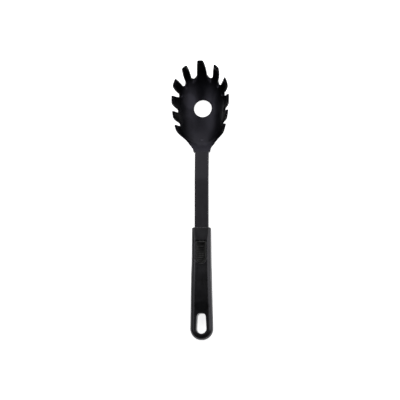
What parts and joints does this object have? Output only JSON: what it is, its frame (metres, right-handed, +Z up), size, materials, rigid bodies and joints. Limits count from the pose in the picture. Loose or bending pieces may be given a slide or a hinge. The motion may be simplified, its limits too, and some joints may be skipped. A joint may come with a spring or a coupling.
{
  "type": "pasta server",
  "caption": "Long-handled pasta server: deep oval bowl ringed with upright teeth, round drain hole, flat cranked shank, ribbed thumb rest and hang slot.",
  "frame": {"origin": "centre of the footprint, on the surface that the server lies on", "axes": "+Y along the server from the handle toward the bowl, +Z up out of the bowl's mouth, X across"},
  "size_m": [0.0674, 0.325, 0.035],
  "materials": {
    "head_nylon": "semi-matt moulded nylon, black",
    "shank_nylon": "semi-matt moulded nylon, black",
    "handle_plastic": "satin moulded plastic, black",
    "grip_rubber": "soft ribbed inlay, black"
  },
  "bodies": {
    "root": {"serving_head": "head_nylon", "shank": "shank_nylon", "handle": "handle_plastic", "thumb_grip": "grip_rubber"}
  },
  "joints": []
}
